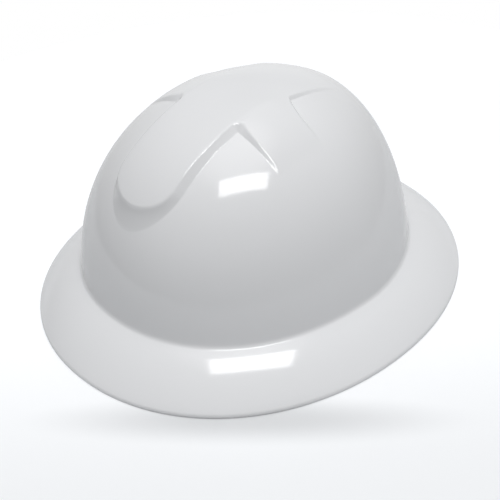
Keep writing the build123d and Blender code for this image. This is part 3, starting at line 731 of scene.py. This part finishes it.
def makeRoom():
    r = roomSizes
    place = addNode(world, "ShaderNodeTexCoord")
    around = addNode(world, "ShaderNodeMapping", {
        "Vector": place.outputs["Generated"], "Rotation": (0, 0, r["turn"]), "Scale": (1, 1, 0)})
    heading = addNode(world, "ShaderNodeVectorMath", {0: around.outputs["Vector"]}, operation="NORMALIZE")
    level = addNode(world, "ShaderNodeSeparateXYZ", {"Vector": heading.outputs["Vector"]})
    rise = addNode(world, "ShaderNodeSeparateXYZ", {"Vector": place.outputs["Generated"]})
    # low down it is bright only far to the right and behind the hat
    behind = addNode(world, "ShaderNodeVectorMath", {
        0: heading.outputs["Vector"], 1: (0, 0, 0)}, operation="MAXIMUM")
    squared = addNode(world, "ShaderNodeVectorMath", {
        0: behind.outputs["Vector"], 1: behind.outputs["Vector"]}, operation="MULTIPLY")
    low = addNode(world, "ShaderNodeVectorMath", {
        0: squared.outputs["Vector"], 1: (r["rightLow"], r["farLow"], 0)}, operation="DOT_PRODUCT")
    # at middle height it is brightest to the sides
    onRight = addNode(world, "ShaderNodeMath", {0: level.outputs["X"], 1: 0.0}, operation="GREATER_THAN")
    side = addNode(world, "ShaderNodeMix", {
        "Factor": onRight.outputs["Value"], "A": r["leftSide"], "B": r["rightSide"]})
    sideward = addNode(world, "ShaderNodeMath", {
        0: level.outputs["X"], 1: level.outputs["X"]}, operation="MULTIPLY")
    middle = addNode(world, "ShaderNodeMix", {
        "Factor": sideward.outputs["Value"], "A": r["foreAndAft"], "B": side.outputs["Result"]})
    toMiddle = addNode(world, "ShaderNodeMapRange", {
        "Value": rise.outputs["Z"], "From Min": r["toMiddle"][0], "From Max": r["toMiddle"][1]},
        interpolation_type="SMOOTHSTEP")
    lower = addNode(world, "ShaderNodeMix", {
        "Factor": toMiddle.outputs["Result"], "A": low.outputs["Value"], "B": middle.outputs["Result"]})
    toTop = addNode(world, "ShaderNodeMapRange", {
        "Value": rise.outputs["Z"], "From Min": r["toTop"][0], "From Max": r["toTop"][1]},
        interpolation_type="SMOOTHSTEP")
    upper = addNode(world, "ShaderNodeMix", {
        "Factor": toTop.outputs["Result"], "A": lower.outputs["Result"], "B": r["overhead"]})
    zenith = addNode(world, "ShaderNodeMapRange", {
        "Value": rise.outputs["Z"], "From Min": r["toPeak"][0], "From Max": r["toPeak"][1],
        "To Max": r["peak"]}, interpolation_type="SMOOTHSTEP")
    total = addNode(world, "ShaderNodeMath", {
        0: upper.outputs["Result"], 1: zenith.outputs["Result"]}, operation="ADD")
    # the camera itself sees plain white
    rays = addNode(world, "ShaderNodeLightPath")
    strength = addNode(world, "ShaderNodeMix", {
        "Factor": rays.outputs["Is Camera Ray"], "A": total.outputs["Value"], "B": 1.0})
    sky = world.node_tree.nodes["Background"]
    sky.inputs["Color"].default_value = hexColour("#FFFFFF")
    link(world, strength.outputs["Result"], sky.inputs["Strength"])


makeRoom()


# Table: pale towards the camera, white behind the hat and at its own edge, and unseen from below. It carries
# a painted shadow along the brim's near side and a painted glow under the hat. Its lengths are in metres; a
# lift is how much it glows, and a reach under the hat is a share of the way out to the rim
tableSizes = dict(
    radius=0.45, segments=96, turn=-0.8664, colour="#CED0D2", roughness=0.25, glow="#FCFDFF",
    whiteAt=0.02, paleAt=0.24, farLift=0.45, nearLift=0.27, edgeFrom=0.3, edgeLift=0.5, glossShare=0.2,
    shadowTurn=-0.7613, shadowPlace=(0.005, -0.154), shadowSize=(0.1545, 0.0242), shadowCore=0.11,
    shadowDepth=0.278, underSize=(0.1438, 0.158), middleReach=0.55, middleGlow=1.2, brimReach=0.82,
    brimGlow=0.62, rimReach=0.965, rimEnd=0.995)


def makeFloor():
    s = tableSizes
    bm = bmesh.new()
    bmesh.ops.create_circle(bm, cap_ends=True, segments=s["segments"], radius=s["radius"])
    mesh = bpy.data.meshes.new("floor")
    bm.to_mesh(mesh)
    bm.free()
    floor = bpy.data.objects.new("floor", mesh)
    bpy.context.scene.collection.objects.link(floor)
    material, shader = newMaterial("paleTable")
    place = addNode(material, "ShaderNodeTexCoord")
    towards = addNode(material, "ShaderNodeMapping", {
        "Vector": place.outputs["Object"], "Rotation": (0, 0, s["turn"])})
    split = addNode(material, "ShaderNodeSeparateXYZ", {"Vector": towards.outputs["Vector"]})
    fade = addNode(material, "ShaderNodeMapRange", {
        "Value": split.outputs["Y"], "From Min": -s["whiteAt"], "From Max": -s["paleAt"],
        "To Min": s["farLift"], "To Max": s["nearLift"]}, interpolation_type="SMOOTHSTEP")
    away = addNode(material, "ShaderNodeVectorMath", {0: place.outputs["Object"]}, operation="LENGTH")
    outward = addNode(material, "ShaderNodeMapRange", {
        "Value": away.outputs["Value"], "From Min": s["edgeFrom"], "From Max": s["radius"]},
        interpolation_type="SMOOTHSTEP")
    level = addNode(material, "ShaderNodeMix", {
        "Factor": outward.outputs["Result"], "A": fade.outputs["Result"], "B": s["edgeLift"]})
    # a painted shadow of the hat, deeper in a band along the brim's near side, drawn in the table's colour
    # and glow besides the shadow that the lamps cast
    alongBand = addNode(material, "ShaderNodeMapping", {
        "Vector": place.outputs["Object"], "Rotation": (0, 0, s["shadowTurn"])})
    length, width = s["shadowSize"]
    inShadow = addNode(material, "ShaderNodeMapping", {
        "Vector": alongBand.outputs["Vector"], "Scale": (1 / length, 1 / width, 1),
        "Location": (-s["shadowPlace"][0] / length, -s["shadowPlace"][1] / width, 0)})
    reach = addNode(material, "ShaderNodeVectorMath", {0: inShadow.outputs["Vector"]}, operation="LENGTH")
    shade = addNode(material, "ShaderNodeMapRange", {
        "Value": reach.outputs["Value"], "From Min": s["shadowCore"], "From Max": 1.0,
        "To Min": 1 - s["shadowDepth"], "To Max": 1.0}, interpolation_type="SMOOTHSTEP")
    # a painted glow in the table under the hat, strongest under the crown's middle and gone at the rim,
    # lights the hat's inside so that it can be seen from below
    hatPlan = addNode(material, "ShaderNodeMapping", {
        "Vector": place.outputs["Object"], "Scale": (1 / s["underSize"][0], 1 / s["underSize"][1], 1)})
    inPlan = addNode(material, "ShaderNodeVectorMath", {0: hatPlan.outputs["Vector"]}, operation="LENGTH")
    inside = addNode(material, "ShaderNodeMapRange", {
        "Value": inPlan.outputs["Value"], "From Min": s["middleReach"], "From Max": s["brimReach"],
        "To Min": s["middleGlow"], "To Max": s["brimGlow"]}, interpolation_type="SMOOTHSTEP")
    toRim = addNode(material, "ShaderNodeMapRange", {
        "Value": inPlan.outputs["Value"], "From Min": s["rimReach"], "From Max": s["rimEnd"],
        "To Min": 1.0, "To Max": 0.0}, interpolation_type="SMOOTHSTEP")
    under = addNode(material, "ShaderNodeMath", {
        0: inside.outputs["Result"], 1: toRim.outputs["Result"]}, operation="MULTIPLY")
    # the camera sees the whole lift, a mirroring face a share of it, and a dull one none
    rays = addNode(material, "ShaderNodeLightPath")
    mirrored = addNode(material, "ShaderNodeMath", {
        0: rays.outputs["Is Glossy Ray"], 1: rays.outputs["Is Transmission Ray"]}, operation="MAXIMUM")
    seen = addNode(material, "ShaderNodeMath", {
        0: mirrored.outputs["Value"], 1: s["glossShare"], 2: rays.outputs["Is Camera Ray"]},
        operation="MULTIPLY_ADD")
    lift = addNode(material, "ShaderNodeMath", {
        0: seen.outputs["Value"], 1: level.outputs["Result"]}, operation="MULTIPLY")
    # the painted shadow darkens both the glow and the table's colour
    shaded = addNode(material, "ShaderNodeMath", {
        0: lift.outputs["Value"], 1: shade.outputs["Result"]}, operation="MULTIPLY")
    colour = addNode(material, "ShaderNodeMix", {
        "Factor": shade.outputs["Result"], "A": hexColour("#000000"), "B": hexColour(s["colour"])},
        data_type="RGBA")
    # the painted glow under the hat is added to the lift
    strength = addNode(material, "ShaderNodeMath", {
        0: shaded.outputs["Value"], 1: under.outputs["Value"]}, operation="ADD")
    glow = addNode(material, "ShaderNodeEmission", {
        "Color": hexColour(s["glow"]), "Strength": strength.outputs["Value"]})
    lit = addNode(material, "ShaderNodeAddShader", {
        0: shader.outputs["BSDF"], 1: glow.outputs["Emission"]})
    sides = addNode(material, "ShaderNodeNewGeometry")
    clear = addNode(material, "ShaderNodeBsdfTransparent")
    whole = addNode(material, "ShaderNodeMixShader", {
        0: sides.outputs["Backfacing"], 1: lit.outputs["Shader"], 2: clear.outputs["BSDF"]})
    link(material, colour.outputs["Result"], shader.inputs["Base Color"])
    shader.inputs["Roughness"].default_value = s["roughness"]
    output = material.node_tree.nodes["Material Output"]
    link(material, whole.outputs["Shader"], output.inputs["Surface"])
    mesh.materials.append(material)


makeFloor()
bpy.context.scene.view_settings.view_transform = "Standard"
print("stage made")
